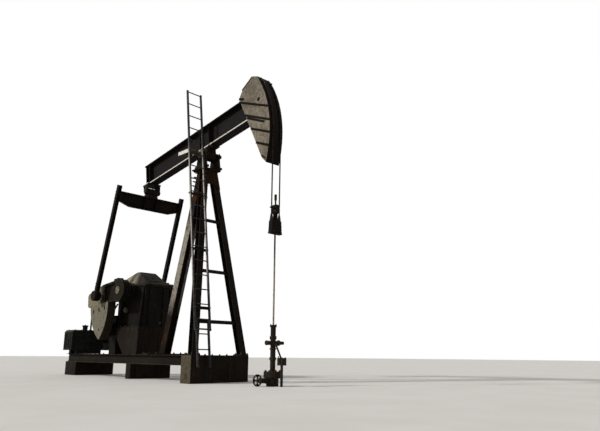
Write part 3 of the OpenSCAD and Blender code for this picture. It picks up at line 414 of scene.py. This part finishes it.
class Fittings:
    """One mesh of small fittings, built up in a piece's own frame."""

    def __init__(self, name, body, finish, slot, frame_of=in_place):
        self.name, self.body, self.finish, self.slot, self.frame_of = name, body, finish, slot, frame_of
        self.mesh = bmesh.new()

    def facing(self, place, axis):
        """A matrix that stands a shape's foot at place with its Z along axis."""
        turn = Vector(up).rotation_difference(Vector(axis)).to_matrix().to_4x4()
        return self.frame_of @ Matrix.Translation(place) @ turn

    def chamfered(self, rim, offset):
        bmesh.ops.bevel(self.mesh, geom=rim, affect="EDGES", offset=offset, segments=1, profile=0.5, material=-1)

    def turned(self, place, axis, radius, length, top=None, sides=12, chamfer=0.0):
        """A turned piece that rises from place along axis, with its far rim chamfered."""
        across = 0.1
        at = self.facing(place, axis) @ Matrix.Translation((0.0, 0.0, length / 2))
        made = bmesh.ops.create_cone(self.mesh, cap_ends=True, segments=sides, radius1=radius,
            radius2=radius if top is None else top, depth=length, matrix=at)
        if chamfer:
            rise = (at.to_3x3() @ Vector(up)).normalized()
            rim = [edge for edge in joined_edges(made["verts"])
                if abs((edge.verts[0].co - edge.verts[1].co).normalized().dot(rise)) < across
                and (edge.verts[0].co - at.translation).dot(rise) > 0]
            self.chamfered(rim, chamfer)

    def bar(self, start, end, width, depth, chamfer=0.0):
        """A bar from start to end with a square-edged section; width lies along Y where it can."""
        start, end = Vector(start), Vector(end)
        length = (end - start).length
        forward = (end - start).normalized()
        side = Vector(to_far) if abs(forward.y) < 0.9 else Vector(to_well)
        rise = forward.cross(side).normalized()
        side = rise.cross(forward).normalized()
        turn = Matrix((side, rise, forward)).transposed().to_4x4()
        at = self.frame_of @ Matrix.Translation((start + end) / 2) @ turn @ Matrix.Diagonal((width, depth, length, 1.0))
        made = bmesh.ops.create_cube(self.mesh, size=1.0, matrix=at)
        if chamfer:
            self.chamfered(joined_edges(made["verts"]), chamfer)

    def nut(self, place, axis, size, stud=0.5, washer=True):
        """A hexagon nut of radius size on its washer, with stud times its size of its stud showing."""
        washer_h, nut_h = size * 0.16, size * 0.78
        axis = Vector(axis).normalized()
        place = Vector(place)
        if washer:
            self.turned(place, axis, size * 1.12, washer_h, sides=14)
            place = place + axis * washer_h
        self.turned(place, axis, size, nut_h, sides=6, chamfer=size * 0.12)
        self.turned(place + axis * nut_h, axis, size * 0.5, size * stud, top=size * 0.44, sides=8)

    def nuts(self, places, axis, size, **more):
        for place in places:
            self.nut(place, axis, size, **more)

    def done(self):
        """Makes the mesh a piece that rides on its body."""
        bmesh.ops.recalc_face_normals(self.mesh, faces=self.mesh.faces)
        piece = linked(self.name, self.mesh, finishes[self.finish])
        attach(piece, self.body)


def both(*values):
    """Each value with a minus and a plus sign."""
    return [sign * value for value in values for sign in near_and_far]


def ring(radius, count, turn=0.0):
    """Points round a circle."""
    angles = [turn + math.tau * i / count for i in range(count)]
    return [(radius * math.cos(angle), radius * math.sin(angle)) for angle in angles]


# Bolts of the base and the post

bolts = Fittings("base_bolts", "base", "bolt_steel", "dark_steel")
for y in both(0.602):
    bolts.nuts([(saddle.x + foot_front + dx, y + dy, foot_z) for dx in both(0.084) for dy in both(0.084)], up, 0.017)
bolts.nuts([(saddle.x - rear_foot + x, y, foot_z) for x in both(0.09) for y in both(0.17, 0.47)], up, 0.02)
bolts.nuts([(x, y, base_top) for x in both(0.115) for y in both(0.18, 0.36)], up, 0.018)
bolts.nuts([(x, y, base_top) for x in (-5.54, -3.44, -2.37) for y in both(0.478)], up, 0.018)
bolts.nuts([(x, y, base_top) for x in (-4.9, -4.5, -4.1) for y in both(0.40, 0.48)], up, 0.016)
bolts.nuts([(x, y, base_top - 0.188) for x in (-5.52, -5.12) for y in both(0.48)], up, 0.018)
for rise, axis, size in ((0.04, up, 0.02), (-0.02, down, 0.018)):
    bolts.nuts([(x, y, bed_top + rise) for x in (-3.18, -2.98, -2.66, -2.46) for y in both(0.375)], axis, size)
bolts.done()

post_bolts = Fittings("post_bolts", "base", "bolt_steel", "post_paint")
for x, z, axis, size, stud in ((0.181, post_top + 0.045, up, 0.016, 0.5), (0.143, saddle.z + 0.032, up, 0.022, 1.2),
        (0.143, saddle.z - 0.032, down, 0.022, 0.9)):
    post_bolts.nuts([(saddle.x + dx, y, z) for dx in both(x) for y in both(0.1775)], axis, size, stud=stud)
post_bolts.nuts([(x, y, cap_z) for x in (-0.42, -0.80) for y in both(0.19)], down, 0.015)
for sign in near_and_far:
    post_bolts.nuts([(saddle.x + x, sign * 0.247, saddle.z + z) for x, z in ring(0.045, 3, 0.5)],
        (0.0, sign, 0.0), 0.013, stud=0.2)
post_bolts.done()


# Long studs in the rear leg's flanges, with a short one under each

pegs = Fittings("rear_leg_studs", "base", "bolt_steel", "post_paint")
for z in (4.15, 4.24, 4.335, 4.43):
    leg_x = saddle.x - rear_top - (cap_z - z) * (rear_foot - rear_top) / (cap_z - foot_z)
    for sign in near_and_far:
        outward = (0.0, sign, 0.0)
        flange = sign * 0.09
        pegs.turned((leg_x - 0.012, flange, z), outward, 0.012, 0.12, sides=10, chamfer=0.002)
        pegs.nut((leg_x - 0.012, flange, z), outward, 0.021, stud=0.0)
        pegs.nut((leg_x - 0.012, sign * 0.155, z), outward, 0.019, stud=0.0, washer=False)
        pegs.nut((leg_x + 0.022, flange, z - 0.036), outward, 0.017, stud=1.6)
pegs.done()


# Bolts of the gusset and of the ladder's brackets, in the front legs' plane

gusset_bolts = Fittings("gusset_bolts", "base", "bolt_steel", "post_paint", in_legs)
for drop, y in ((0.06, 0.145), (0.18, 0.158), (0.30, 0.172), (0.42, 0.186)):
    gusset_bolts.nuts([(0.086, side, front_l - drop) for side in both(y)], to_well, 0.015)
gusset_bolts.done()

clips = Fittings("ladder_clips", "base", "bolt_steel", "post_paint", in_ladder)
for drop in (0.7, 1.9, 3.1):
    z = front_l - drop
    for y in both(0.177):
        clips.nuts([(-0.032, y + dy, z) for dy in both(0.029)], to_tail, 0.009)
        clips.bar((0.022, y - 0.032, z), (0.022, y + 0.032, z), 0.008, 0.012)
        for dy in both(0.029):
            clips.bar((-0.02, y + dy, z), (0.026, y + dy, z), 0.008, 0.008)
clips.nuts([(0.026, y, 0.445) for y in both(0.13)], to_well, 0.01)
clips.done()


# Gear reducer: bolts of its flange and shaft caps, inspection lid, oil gauge and plugs

case_bolts = Fittings("gear_case_bolts", "base", "bolt_steel", "reducer_paint")
on_lip = ([(-3.44 + 0.146 * i, y) for i in range(8) for y in both(case_half + lip_mid)]
    + [(x, -0.24 + 0.12 * i) for x in (case_back - lip_mid, case_front + lip_mid) for i in range(5)])
for z, axis in ((case_joint + lip_t, up), (case_joint - lip_t, down)):
    case_bolts.nuts([(x, y, z) for x, y in on_lip], axis, 0.0105, washer=False)
for sign in near_and_far:
    case_bolts.nuts([(shaft.x + x, sign * 0.46, shaft.z + z) for x, z in ring(0.168, 8, 0.2)],
        (0.0, sign, 0.0), 0.012, stud=0.2, washer=False)
case_bolts.nuts([(x, -0.33, z) for x in (-3.79, -3.71, -3.59, -3.53) for z in (1.02, 1.24, 1.38)],
    to_near, 0.011, stud=0.2)
case_bolts.nuts([(input_shaft.x + x, -0.375, input_shaft.z + z) for x, z in ring(0.078, 6)],
    to_near, 0.008, stud=0.2, washer=False)
case_bolts.done()

slope_top, slope_foot = Vector((-2.755, 0.0, 2.41)), Vector((case_front, 0.0, case_joint + lip_t))
fall = (slope_foot - slope_top).normalized()
out_of = Vector((-fall.z, 0.0, fall.x))
on_slope = (Matrix.Translation((slope_top + slope_foot) / 2)
    @ Matrix((fall, Vector(to_far), out_of)).transposed().to_4x4())
lid = Fittings("inspection_lid", "base", "cover_paint", "reducer_paint", on_slope)
lid_t = 0.012
lid.bar((-0.15, 0.0, lid_t / 2), (0.15, 0.0, lid_t / 2), 0.30, lid_t, chamfer=0.003)
lid.nuts([(x, y, lid_t) for x in (-0.13, 0.0, 0.13) for y in both(0.132)], up, 0.010, stud=0.2)
lid.nut((0.0, 0.0, lid_t), up, 0.022, stud=0.3)
lid.done()

gauge = Fittings("oil_gauge", "base", "platform_steel", "reducer_paint")
gauge.turned((-3.10, -0.30, 1.53), to_near, 0.062, 0.05, sides=24, chamfer=0.006)
gauge.turned((-3.10, -0.35, 1.53), to_near, 0.044, 0.012, sides=20, chamfer=0.003)
gauge.nut((-2.42, -0.30, 1.17), to_near, 0.022, stud=0.0)
gauge.turned((-2.31, 0.10, 1.22), to_well, 0.02, 0.03, sides=16)
gauge.nut((-2.285, 0.10, 1.22), to_well, 0.026, stud=0.0, washer=False)
gauge.done()


# Brake: the band's lugs and clamp bolt, the lever's grip, and the drum's bolts and hub

band = Fittings("brake_fittings", "base", "bolt_steel", "reducer_paint", at_brake)
for x, low in ((-0.10, 0.19), (-0.02, 0.20)):
    band.bar((x, drum_y, low), (x, drum_y, 0.26), 0.05, 0.02, chamfer=0.003)
band.turned((-0.13, drum_y, 0.24), to_well, 0.008, 0.14, sides=10)
band.nut((-0.11, drum_y, 0.24), to_tail, 0.016)
band.nut((-0.01, drum_y, 0.24), to_well, 0.016)
lever_lean = 0.873
band.turned((0.275, drum_y, 0.482), (math.sin(lever_lean), 0.0, math.cos(lever_lean)), 0.02, 0.10,
    sides=14, chamfer=0.005)
drum_face = -0.465
band.nuts([(x, drum_face, z) for x, z in ring(0.07, 5)], to_near, 0.011, stud=0.2)
band.turned((0.0, drum_face, 0.0), to_near, 0.04, 0.02, sides=20, chamfer=0.005)
band.done()


# Belt guard: bolts, a raised disc over each sheave and louvre slats on its outer face

guard = Fittings("belt_guard_fittings", "base", "gear_case_paint", "reducer_paint")
for centre, radius, count in ((input_shaft, 0.31, 9), (engine_shaft, 0.205, 6)):
    for x, z in ring(radius, count, 0.35):
        guard.nut((centre.x + x, guard_out, centre.z + z), to_far, 0.012, stud=0.1)
    guard.turned((centre.x, guard_out, centre.z), to_far, radius * 0.42, 0.012, sides=32, chamfer=0.004)
for i in range(7):
    x, z = -4.05 - 0.12 * i, 1.06 - 0.02 * i
    guard.bar((x, guard_out + 0.004, z - 0.11), (x, guard_out + 0.004, z + 0.11), 0.014, 0.03, chamfer=0.003)
guard.done()


# Engine: grille blades and bars, door with hinges, latch and louvres, and the bolts, caps and rain flap on top

blades = Fittings("engine_grille", "base", "engine_paint", "engine_paint")
blade_y = -0.652
for i in range(9):
    z = 0.685 + 0.04 * i
    blades.bar((-5.428, blade_y, z), (-5.082, blade_y, z), 0.006, 0.026)
    blades.bar((-5.428, blade_y - 0.012, z - 0.012), (-5.082, blade_y - 0.012, z - 0.012), 0.022, 0.003)
for x in (-5.37, -5.255, -5.14):
    blades.bar((x, blade_y - 0.016, 0.665), (x, blade_y - 0.016, 1.025), 0.004, 0.012)
blades.done()

door = Fittings("engine_door", "base", "engine_paint", "engine_paint")
door_x, hinge_y, latch_y = -5.036, -0.535, -0.02
door.bar((door_x, -0.26, 0.685), (door_x, -0.26, 1.005), 0.55, 0.008, chamfer=0.003)
for z in (0.75, 0.94):
    door.turned((door_x + 0.01, hinge_y, z - 0.03), up, 0.009, 0.06, sides=10)
    door.bar((door_x + 0.006, hinge_y, z), (door_x + 0.006, -0.46, z), 0.004, 0.03)
door.turned((door_x + 0.004, latch_y, 0.845), to_well, 0.02, 0.014, sides=16, chamfer=0.003)
door.bar((door_x + 0.02, latch_y, 0.85), (door_x + 0.02, latch_y, 0.79), 0.014, 0.01, chamfer=0.002)
for i in range(5):
    z = 0.73 + 0.022 * i
    door.bar((door_x + 0.007, -0.40, z), (door_x + 0.007, -0.14, z), 0.01, 0.007)
door.done()

top = Fittings("engine_top_fittings", "base", "bolt_steel", "engine_paint")
top.nuts([(x, y, 1.11) for x in (-5.44, -5.07) for y in (-0.58, -0.42, 0.06)], up, 0.012, stud=0.2)
top.turned((-5.33, -0.205, 1.235), up, 0.016, 0.012, sides=12)
top.bar((-5.355, -0.205, 1.252), (-5.305, -0.205, 1.252), 0.008, 0.012, chamfer=0.002)
top.turned((-5.28, -0.075, 1.20), up, 0.026, 0.02, sides=20, chamfer=0.003)
top.turned((-5.282, -0.075, 1.466), (0.3, 0.0, 1.0), 0.024, 0.006, sides=20)
top.done()


# Wellhead: flange studs, plugs and collars of the tee, gland bolts, valve cap and the riser's cock

well = Fittings("wellhead_fittings", "base", "bolt_steel", "well_steel", at_well)
valve_z, tee_z, riser_x = 0.10, 0.75, 0.235
for x, y in ring(0.136, 8, 0.39):
    well.nut((x, y, 0.25), up, 0.02, stud=0.5)
    well.nut((x, y, 0.16), down, 0.02, stud=0.3)
well.turned((0.0, -0.150, tee_z), to_near, 0.045, 0.02, sides=8, chamfer=0.004)
well.turned((0.0, 0.118, tee_z), to_far, 0.052, 0.034, sides=8, chamfer=0.005)
well.turned((0.0, 0.0, 0.45), up, 0.062, 0.05, sides=8, chamfer=0.006)
for z in (tee_z - 0.09, tee_z + 0.09):
    well.turned((0.0, 0.0, z), down, 0.060, 0.03, sides=24, chamfer=0.005)
well.nuts([(x, y, 1.07) for x, y in ring(0.049, 2, 0.6)], up, 0.011, stud=0.8)
well.nut((0.0, -0.30, valve_z), to_near, 0.034, stud=0.0, washer=False)
well.nut((-0.136, -0.241, valve_z), to_tail, 0.016, stud=0.3)
well.nuts([(x, -0.192, valve_z + z) for x, z in ring(0.042, 6)], to_near, 0.008, stud=0.2, washer=False)
well.nuts([(riser_x + x, y, 0.49) for x in both(0.045) for y in both(0.04)], up, 0.01, stud=0.3)
well.turned((riser_x, -0.055, 0.425), to_near, 0.022, 0.035, sides=8, chamfer=0.004)
well.bar((riser_x, -0.085, 0.425), (riser_x, -0.085, 0.52), 0.010, 0.02, chamfer=0.002)
well.done()


# Walking beam: saddle, head and tail bolts, and on the head's side plates their weld beads, dark rims that paint both
# the plate edges and the shadow of their overhang, and a dark disc that paints the shade inside a hole

beam_bolts = Fittings("beam_bolts", "beam", "bolt_steel", "beam_paint", in_beam)
flange_y = 0.085
for z, axis in ((flange_low - 0.03, down), (flange_top, up)):
    beam_bolts.nuts([(x, y, z) for x in both(0.135, 0.225) for y in both(flange_y)], axis, 0.018)
beam_bolts.nuts([(x - tail_l, y, flange_top) for x in both(0.035) for y in both(flange_y)], up, 0.018)
beam_bolts.nuts([(x, y, top_flange_low) for x in (1.42, 1.54, 1.66, 1.78) for y in both(flange_y)], down, 0.014)
for sign in near_and_far:
    outward = (0.0, sign, 0.0)
    beam_bolts.turned((-tail_l, sign * 0.192, 0.0), outward, 0.058, 0.012, sides=28, chamfer=0.004)
    beam_bolts.nuts([(x - tail_l, sign * 0.204, z) for x, z in ring(0.034, 3, 0.3)], outward, 0.010, stud=0.2)
beam_bolts.done()

seam_w = 0.048
seam_and_shadow_lines = (
    ((1.325, 0.662), (2.166, 0.166), seam_w),
    ((1.44, 0.305), (2.166, -0.138), seam_w),
    ((1.53, 0.195), (2.02, -0.118), seam_w),
    ((1.612, -0.088), (2.134, -0.400), seam_w),
    ((1.722, -0.448), (2.075, -0.662), seam_w),
    ((1.335, 0.735), (1.49, 0.651), 0.055),
    # The last two are dark rims along the plate's top and bottom edges: they paint both the plate edge and the shadow
    # of its overhang.
    ((1.452, 0.888), (1.785, 1.036), 0.03),
    ((1.842, -0.786), (1.955, -0.892), 0.03))
for name, sign in zip(("head_seams_and_painted_shade_near", "head_seams_and_painted_shade_far"), near_and_far):
    seams = Fittings(name, "beam", "seam_and_shade_black", "head_paint", in_beam)
    proud = sign * (plate_out + 0.0012)
    for start, end, width in seam_and_shadow_lines:
        seams.bar((start[0], proud, start[1]), (end[0], proud, end[1]), 0.005, width, chamfer=0.002)
    # A dark disc on each plate paints the shade inside a lifting hole.
    seams.turned((1.915, sign * (plate_out + 0.0002), 0.445), (0.0, sign, 0.0), 0.043, 0.0015, sides=20)
    seams.done()


# Wire clamps at the top of the head, on the curved face

clamp_angle = math.radians(22.4)
on_face = in_beam @ Matrix.Rotation(-clamp_angle, 4, "Y") @ Matrix.Translation((arc_r, 0.0, 0.0))
clamps = Fittings("bridle_clamps", "beam", "bolt_steel", "beam_paint", on_face)
for y in both(wire_y):
    clamps.bar((0.031, y - 0.042, 0.0), (0.031, y + 0.042, 0.0), 0.006, 0.044, chamfer=0.002)
    clamps.nuts([(0.034, y + dy, 0.0) for dy in both(0.029)], to_well, 0.009, stud=0.3, washer=False)
    for dy in both(0.029):
        clamps.turned((0.0, y + dy, 0.0), to_well, 0.006, 0.034, sides=8)
clamps.done()


# Bolts of the equalizer, the pitmans and the wrist bearings, and the equalizer's grease cap

swing_bolts = Fittings("equalizer_bolts", "pitmans", "bolt_steel", "pitman_paint", in_swing)
swing_bolts.nuts([(x, y, -0.102) for x in both(0.076) for y in both(0.05, 0.115)], up, 0.012)
for sign in near_and_far:
    for heights in ((-0.17, -0.25, -0.33), (-2.38, -2.46)):
        swing_bolts.nuts([(x, sign * pitman_out, z) for x in both(0.026) for z in heights],
            (0.0, sign, 0.0), 0.013, stud=0.3)
    swing_bolts.nuts([(x, sign * wrist_in, z - pitman_l) for x, z in ring(0.088, 6, 0.3)],
        (0.0, -sign, 0.0), 0.009, stud=0.0, washer=False)
swing_bolts.turned((0.0, 0.0, 0.078), up, 0.012, 0.02, sides=12)
swing_bolts.turned((0.0, 0.0, 0.098), up, 0.006, 0.014, sides=8)
swing_bolts.done()


# Cranks: clamp bolts, counterweight studs, wrist nuts, and the bolts and key of the shaft ends

crank_bolts = Fittings("crank_bolts", "cranks", "bolt_steel", "crank_paint", in_crank)
clamp_z = 0.276
for y in both(0.575, 0.665):
    crank_bolts.nut((0.22, y, clamp_z), to_well, 0.022, stud=0.7)
    crank_bolts.nut((0.04, y, clamp_z), to_tail, 0.022, stud=0.3)
    crank_bolts.turned((0.122, y, clamp_z), to_well, 0.011, 0.016, sides=10)
for sign in near_and_far:
    outward = (0.0, sign, 0.0)
    crank_bolts.nuts([(x, sign * 0.66, -0.303) for x in (0.5996, 0.86, 1.1204)], outward, 0.021, stud=0.7)
    crank_bolts.nut((crank_r, sign * 0.53, 0.0), (0.0, -sign, 0.0), 0.046, stud=0.1, washer=False)
    crank_bolts.nuts([(x, sign * 0.728, z) for x, z in ring(0.05, 3)], outward, 0.010, stud=0.0, washer=False)
    crank_bolts.bar((0.0, sign * 0.714, 0.088), (0.0, sign * 0.725, 0.088), 0.032, 0.028)
crank_bolts.done()


# Carrier bar's rope sockets and end bolts, and the rod clamp's bolts

rod_work = Fittings("carrier_fittings", "rod", "bolt_steel", "well_steel", at_well)
socket_h = 0.03
for y in both(wire_y):
    rod_work.turned((0.0, y, carrier_top), up, 0.034, socket_h, sides=16, chamfer=0.004)
    rod_work.turned((0.0, y, carrier_top + socket_h), up, 0.032, 0.10, top=0.019, sides=16)
for sign in near_and_far:
    rod_work.nuts([(x, sign * 0.05, z) for x in both(0.048) for z in (3.185, 3.275)], (0.0, sign, 0.0), 0.013)
rod_work.turned((0.05, -0.165, 3.235), to_near, 0.015, 0.02, sides=12, chamfer=0.003)
for x, axis in ((0.045, to_well), (-0.045, to_tail)):
    rod_work.nuts([(x, y, 2.80) for y in both(0.09)], axis, 0.015)
rod_work.done()


# Bridle: two wire ropes of six strands, hanging from the head and bent over its face

rope_r = 0.0138
rope_lay = 0.19
strand_r = rope_r * 0.36
strands = 6
steps_a_turn = 14


def laid_rope(mesh, length):
    """Strands twisted round each other from the origin up Z; gives the vertices that they add."""
    others = set(mesh.verts)
    turns = length / rope_lay
    steps = round(turns * steps_a_turn)
    for i in range(strands):
        turn = Matrix.Rotation(math.tau * i / strands, 4, "Z") @ Matrix.Translation((rope_r - strand_r, 0.0, 0.0))
        foot = bmesh.ops.create_circle(mesh, cap_ends=True, segments=6, radius=strand_r, matrix=turn)["verts"]
        bmesh.ops.spin(mesh, geom=foot + joined_edges(foot) + list(foot[0].link_faces), cent=(0.0, 0.0, 0.0), axis=up,
            dvec=(0.0, 0.0, length / steps), angle=math.tau * turns, steps=steps, use_duplicate=False)
    return [vert for vert in mesh.verts if vert not in others]


def bend_over_head(verts, start_angle):
    """Bends a rope that runs up Z from 0 round the saddle, so that it lies on the head's face."""
    for vert in verts:
        angle = start_angle + vert.co.z / wire_line
        radius = wire_line + vert.co.x
        vert.co = (saddle.x + radius * math.cos(angle), vert.co.y, saddle.z + radius * math.sin(angle))


def bridle_piece(name, length, foot=None, start_angle=0.0):
    """Both ropes over one length: upright from foot, or on the head's face from start_angle up."""
    mesh = bmesh.new()
    for y in both(wire_y):
        rope = laid_rope(mesh, length)
        bmesh.ops.translate(mesh, vec=(0.0, y, 0.0), verts=rope)
        if foot:
            bmesh.ops.translate(mesh, vec=foot, verts=rope)
        else:
            bend_over_head(rope, start_angle)
    bmesh.ops.recalc_face_normals(mesh, faces=mesh.faces)
    for face in mesh.faces:
        face.smooth = True
    piece = linked(name, mesh, finishes["wire_rope"])
    return piece


# Below held_angle a rope leaves the face as the beam rocks; above it, it stays on the face up to its end
held_angle = math.radians(23.4)
top_angle = beam_tilt + math.radians(25.3)
hanging = bridle_piece("bridle_ropes", pivot_h - carrier_top, foot=(well_x, 0.0, carrier_top))
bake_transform(hanging)
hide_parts("bridle_wires")
turning = bridle_piece("bridle_ropes_on_face", held_angle * wire_line)
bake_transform(turning)
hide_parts("bridle_wrap")
anchored = bridle_piece("bridle_ropes_anchored", (top_angle - held_angle) * wire_line, start_angle=held_angle)
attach(anchored, "beam")


# Floor, lamp and sky

floor_r, floor_z = 70.0, -0.002
ground = bmesh.new()
bmesh.ops.create_circle(ground, cap_ends=True, segments=64, radius=floor_r,
    matrix=Matrix.Translation((-1.5, 0.0, floor_z)))
pale = Finish("floor_pale", {"Roughness": 0.9, "Specular IOR Level": 0.2})
clouded = pale.tint(pale.patches(1.4).over(0.3, 0.7), shade(214, 211, 204), shade(220, 217, 211))
pale.feed(pale.surface.inputs["Base Color"], clouded)
linked("floor", ground, pale.material)

lamp = bpy.data.lights.new("key", "SUN")
lamp.energy = 2.7
lamp.angle = math.radians(6.0)
key = bpy.data.objects.new("key", lamp)
towards_lamp = Vector((-0.42, -0.78, 0.52))
key.rotation_euler = towards_lamp.to_track_quat("Z", "Y").to_euler()
bpy.context.scene.collection.objects.link(key)

# The sky is white where it is seen, and dimmer where it lights the object
light_on_object, seen_white = 0.40, 1.0
world = bpy.data.worlds.new("sky")
bpy.context.scene.world = world
world.use_nodes = True
sky = world.node_tree
rays = sky.nodes.new("ShaderNodeLightPath").outputs
background = sky.nodes["Background"]
background.inputs["Color"].default_value = (1.0, 1.0, 1.0, 1.0)
shown = rays["Is Camera Ray"]
for name in ("Is Glossy Ray", "Is Transmission Ray"):
    either = sky.nodes.new("ShaderNodeMath")
    either.operation = "MAXIMUM"
    sky.links.new(shown, either.inputs[0])
    sky.links.new(rays[name], either.inputs[1])
    shown = either.outputs[0]
strength = sky.nodes.new("ShaderNodeMapRange")
strength.inputs["To Min"].default_value = light_on_object
strength.inputs["To Max"].default_value = seen_white
sky.links.new(shown, strength.inputs["Value"])
sky.links.new(strength.outputs["Result"], background.inputs["Strength"])

bpy.context.scene.view_settings.view_transform = "Standard"
